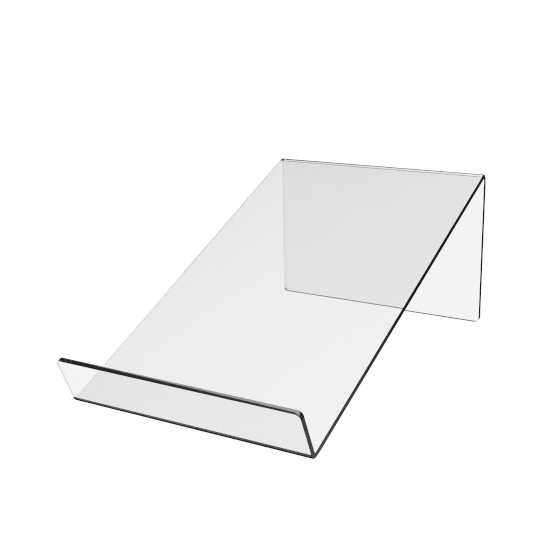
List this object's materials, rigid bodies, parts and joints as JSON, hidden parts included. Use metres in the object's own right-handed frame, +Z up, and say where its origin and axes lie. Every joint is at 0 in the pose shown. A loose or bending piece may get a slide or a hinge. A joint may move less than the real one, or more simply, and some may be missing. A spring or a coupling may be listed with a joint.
{
  "type": "bent acrylic display stand",
  "caption": "Clear acrylic sheet bent into a free-standing sloped display stand, with a turned-up front lip and an upright rear leg.",
  "frame": {"origin": "on the table, under the middle of the stand's bounding box", "axes": "+X across the sheet's width, +Y from the lip towards the rear leg, +Z up"},
  "size_m": [0.15, 0.2448, 0.1],
  "materials": {
    "clear_acrylic": "clear, smooth and glossy, with dark-looking polished cut edges"
  },
  "bodies": {
    "root": {"bent_acrylic_sheet": "clear_acrylic"}
  },
  "joints": []
}
